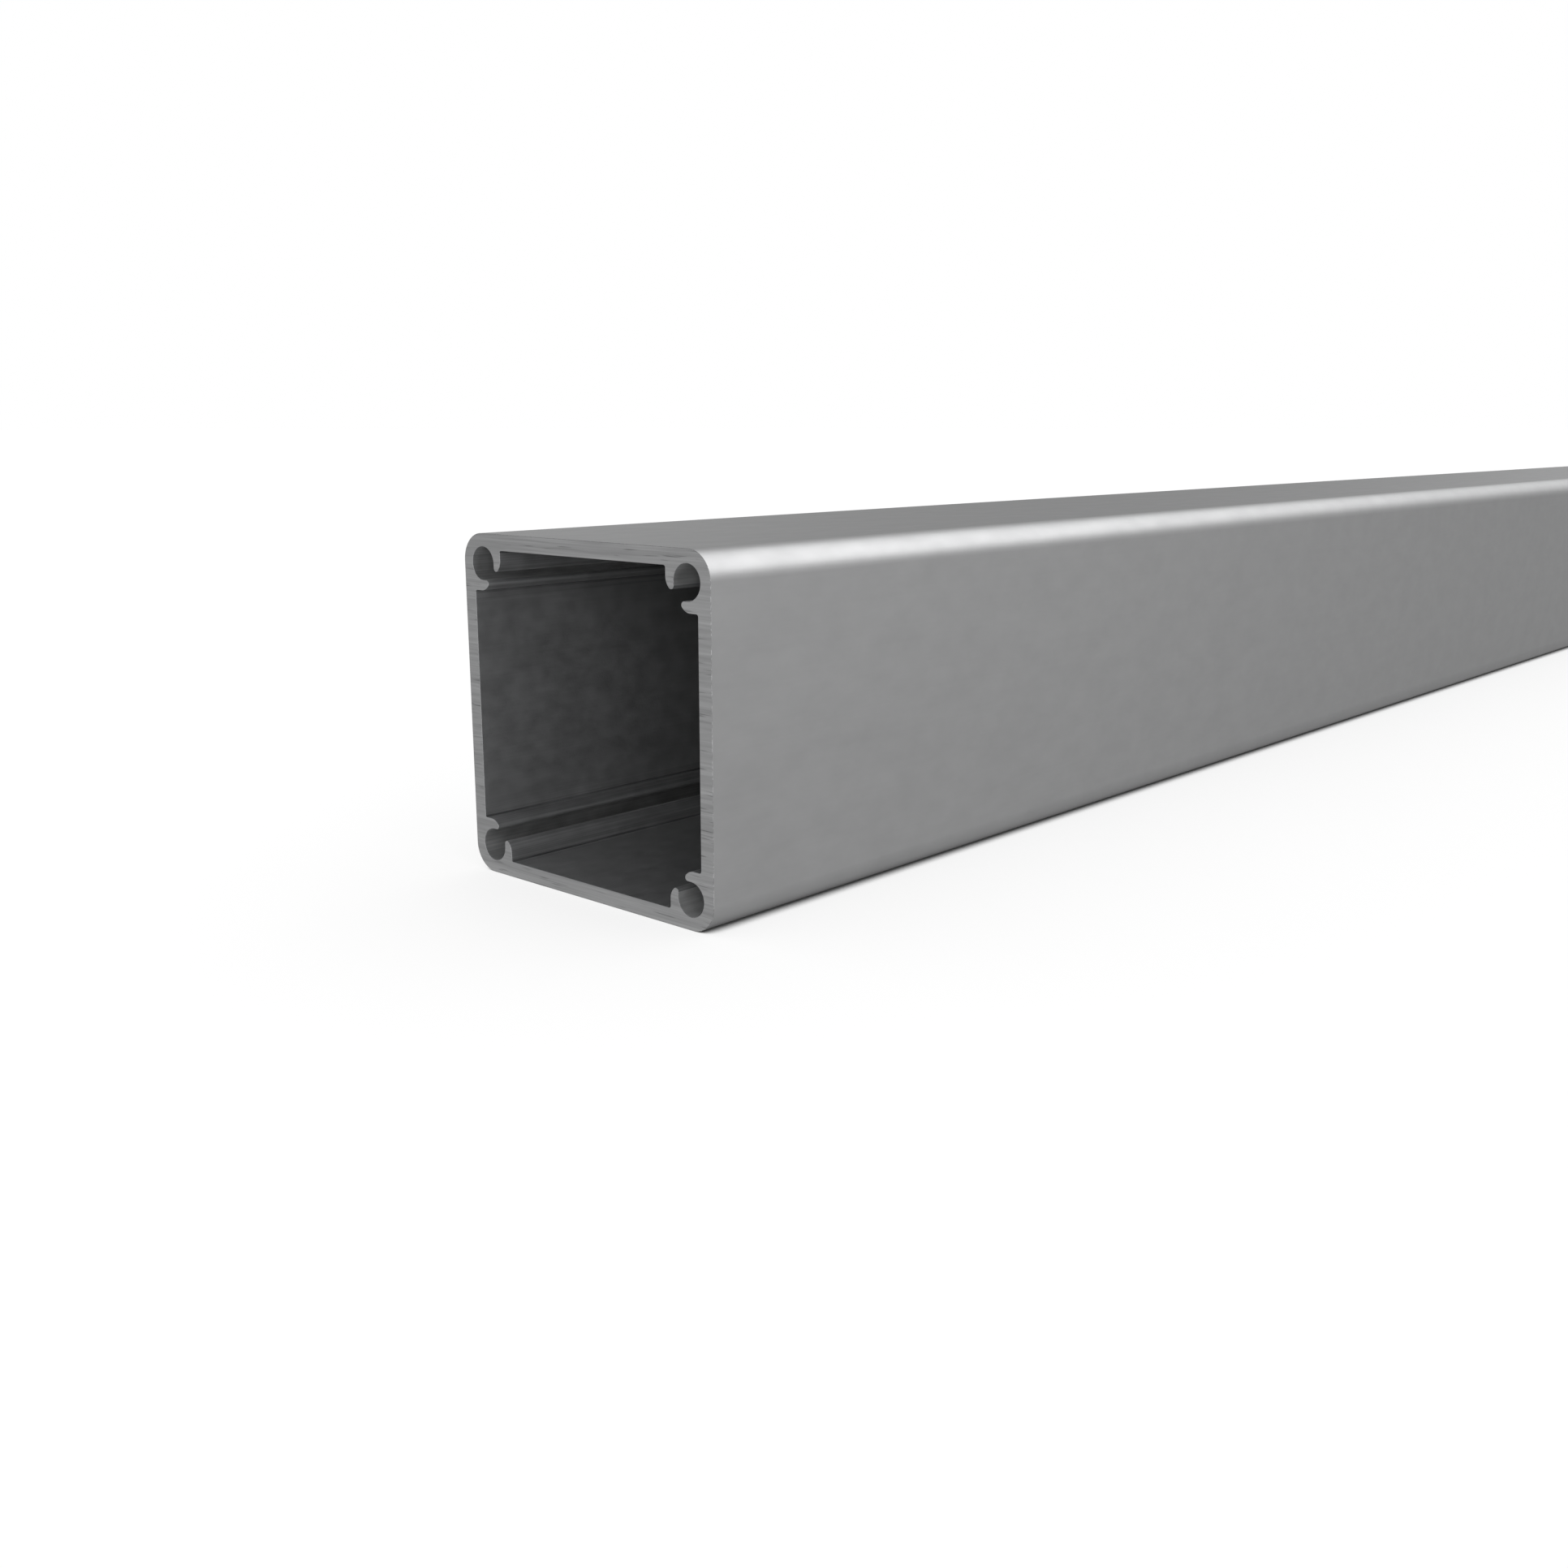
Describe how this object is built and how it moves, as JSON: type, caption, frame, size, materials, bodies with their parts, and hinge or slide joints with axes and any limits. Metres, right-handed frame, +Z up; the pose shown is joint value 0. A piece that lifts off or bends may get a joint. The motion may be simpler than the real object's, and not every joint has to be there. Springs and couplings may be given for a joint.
{
  "type": "square metal tube",
  "caption": "Square aluminium tube with rounded corners and an open screw port along each inner corner.",
  "frame": {"origin": "middle of the bottom face, halfway along the bar", "axes": "+X along the bar, +Z up from the face it lies on, +Y across it"},
  "size_m": [1, 0.05, 0.05],
  "materials": {
    "satin_aluminium": "satin, mill-finished"
  },
  "bodies": {
    "root": {"tube": "satin_aluminium"}
  },
  "joints": []
}
